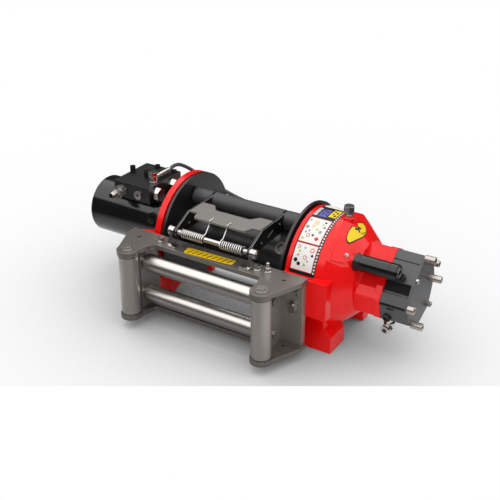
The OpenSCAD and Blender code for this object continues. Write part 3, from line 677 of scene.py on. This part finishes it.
# long screws and a stud stand out of the end cover: their places across and up, radius and height
cover_zinc = surface("cover_zinc", paint(172, 164, 158), 0.3, metal=0.85, radius=0.0008,
                     edge=paint(215, 211, 206), relief=0.0, shade=0.08, rough_spread=0.0)
cover_face = 0.413
cover_screws = [(0.0035, 0.2272, 0.0078, 0.022), (0.0458, 0.1993, 0.0068, 0.016),
                (-0.0679, 0.1448, 0.0088, 0.014), (-0.0398, 0.0947, 0.0082, 0.024),
                (0.0365, 0.106, 0.006, 0.01)]
for number, (y, z, radius, height) in enumerate(cover_screws):
    cap_screw("cover_screw_%d" % number, radius, height, (cover_face, y, z), to_motor, cover_zinc)
turned("cover_stud", [(0.0078, 0.0), (0.0078, 0.025), (0.0066, 0.027)], (cover_face, 0.0369, 0.1691),
       to_motor, cover_zinc)
cap_screw("cover_screw_small", 0.0045, 0.009, (cover_face, 0.0215, 0.2195), to_motor, cover_zinc)
cap_screw("cover_plug", 0.0055, 0.004, (cover_face, -0.0326, 0.1919), to_motor, bright_zinc)


# Floor
# A white paper floor takes the soft shadow of the winch and fades to white round it.
# Polished metal sees it as a lit table that falls off to a dark room.
def seen_paper(tree, place, from_middle, openness):
    # plain white beyond a line at the front right, and everywhere from the fade on
    fade_start, fade_end = 0.9, 1.6
    rightward, right_limit = (0.533, -0.846, 0.0), 0.3354
    beyond = worked(tree, "GREATER_THAN", measured(tree, "DOT_PRODUCT", place, rightward), right_limit)
    fade = ranged(tree, from_middle, fade_start, fade_end, easing="SMOOTHSTEP")
    paper = tree.nodes.new("ShaderNodeEmission")
    feed(tree, paper.inputs["Color"],
         mixed(tree, worked(tree, "MAXIMUM", fade, beyond), openness, (1.0, 1.0, 1.0, 1.0)))
    return paper.outputs[0]


def lit_table(tree, place, from_middle, openness):
    # darker in front of the fairlead, which stands in its own shade
    table_edge, table_end, table_light, room_light = 0.42, 0.85, 1.2, 0.06
    shade_middle, shade_core, shade_end, shade_light = (0.0, -0.38, 0.0), 0.2, 0.45, 0.35
    fall = ranged(tree, from_middle, table_edge, table_end, table_light, room_light, "SMOOTHSTEP")
    apart = measured(tree, "DISTANCE", place, shade_middle)
    pocket = ranged(tree, apart, shade_core, shade_end, shade_light, 1.0, "SMOOTHSTEP")
    table = tree.nodes.new("ShaderNodeEmission")
    feed(tree, table.inputs["Strength"], worked(tree, "MULTIPLY", fall, pocket))
    feed(tree, table.inputs["Color"], openness)
    return table.outputs[0]


def either(tree, share, first, second):
    choice = tree.nodes.new("ShaderNodeMixShader")
    for number, given in enumerate((share, first, second)):
        tree.links.new(given, choice.inputs[number])
    return choice.outputs[0]


def floor_material():
    material = bpy.data.materials.new("studio_floor")
    material.use_nodes = True
    tree = material.node_tree
    tree.nodes.clear()
    sheet = tree.nodes.new("ShaderNodeBsdfDiffuse")
    sheet.inputs["Color"].default_value = (0.93, 0.93, 0.93, 1.0)
    place = tree.nodes.new("ShaderNodeNewGeometry").outputs["Position"]
    from_middle = measured(tree, "LENGTH", place)
    sky = tree.nodes.new("ShaderNodeAmbientOcclusion")
    sky.samples = 12
    sky.inputs["Distance"].default_value = 1.5
    openness = worked(tree, "POWER", sky.outputs["AO"], 1.15)
    ray = tree.nodes.new("ShaderNodeLightPath")
    table = lit_table(tree, place, from_middle, openness)
    paper = seen_paper(tree, place, from_middle, openness)
    mirrored = either(tree, ray.outputs["Is Glossy Ray"], sheet.outputs[0], table)
    whole = either(tree, ray.outputs["Is Camera Ray"], mirrored, paper)
    tree.links.new(whole, tree.nodes.new("ShaderNodeOutputMaterial").inputs["Surface"])
    return material


def stage_mesh(name, points, faces, material):
    mesh = bpy.data.meshes.new(name)
    mesh.from_pydata(points, [], faces)
    mesh.materials.append(material)
    thing = bpy.data.objects.new(name, mesh)
    bpy.context.scene.collection.objects.link(thing)
    return thing


floor_reach = 9
stage_mesh("studio_floor", [(-floor_reach, -floor_reach, 0), (floor_reach, -floor_reach, 0),
                            (floor_reach, floor_reach, 0), (-floor_reach, floor_reach, 0)],
           [(0, 1, 2, 3)], floor_material())


# Studio
# Grey walls stand round the table and a wide softbox hangs over it; only polished metal shows them.
# The wall is higher at the back, where the metal sees less of the softbox.
def glow(name, brightness, strength):
    material = bpy.data.materials.new(name)
    material.use_nodes = True
    tree = material.node_tree
    tree.nodes.clear()
    lamp_face = tree.nodes.new("ShaderNodeEmission")
    lamp_face.inputs["Color"].default_value = (brightness, brightness, brightness, 1.0)
    lamp_face.inputs["Strength"].default_value = strength
    tree.links.new(lamp_face.outputs[0], tree.nodes.new("ShaderNodeOutputMaterial").inputs["Surface"])
    return material


panels = 36
around = [math.radians(360 / panels * number) for number in range(panels)]


def ring_points(radius, heights):
    return [(radius * math.cos(angle), radius * math.sin(angle), height)
            for angle, height in zip(around, heights)]


wall_radius, wall_foot, low_wall, high_wall = 3.2, 0.02, 1.6, 2.7
high_middle, high_share = math.radians(122), 0.35
wall_tops = [high_wall if math.cos(angle - high_middle) > high_share else low_wall for angle in around]
wall_points = ring_points(wall_radius, [wall_foot] * panels) + ring_points(wall_radius, wall_tops)
wall_faces = [(number, (number + 1) % panels, panels + (number + 1) % panels, panels + number)
              for number in range(panels)]
wall = stage_mesh("studio_wall", wall_points, wall_faces, glow("wall_grey", 0.06, 1.0))
softbox_radius, softbox_height = 8.0, 3.3
softbox = stage_mesh("studio_softbox", ring_points(softbox_radius, [softbox_height] * panels),
                     [tuple(range(panels))], glow("softbox_white", 1.0, 2.2))
for thing in (wall, softbox):
    thing.visible_camera = False
    thing.visible_diffuse = False
    thing.visible_transmission = False
    thing.visible_shadow = False

# a broad lamp above gives the soft shadow
lamp = bpy.data.objects.new("lamp_above", bpy.data.lights.new("lamp_above", "AREA"))
bpy.context.scene.collection.objects.link(lamp)
lamp.data.shape = "SQUARE"
lamp.data.size = 2.2
lamp.data.energy = 26.0
lamp.location = (0.2, -0.3, 2.3)
lamp.visible_glossy = False

# the air is white to the camera, in mirrors and through glass, and a little dimmer as a light
air_light, air_seen = 0.72, 1.0
world = bpy.data.worlds.new("studio_air")
bpy.context.scene.world = world
world.use_nodes = True
air = world.node_tree
plain = air.nodes["Background"]
plain.inputs["Color"].default_value = (1.0, 1.0, 1.0, 1.0)
plain.inputs["Strength"].default_value = air_light
white = air.nodes.new("ShaderNodeBackground")
white.inputs["Color"].default_value = (1.0, 1.0, 1.0, 1.0)
white.inputs["Strength"].default_value = air_seen
path = air.nodes.new("ShaderNodeLightPath")
direct = worked(air, "MAXIMUM", path.outputs["Is Camera Ray"], path.outputs["Is Glossy Ray"])
direct = worked(air, "MAXIMUM", direct, path.outputs["Is Transmission Ray"])
whole_air = either(air, direct, plain.outputs[0], white.outputs[0])
air.links.new(whole_air, air.nodes["World Output"].inputs["Surface"])

bpy.context.scene.view_settings.view_transform = "Standard"
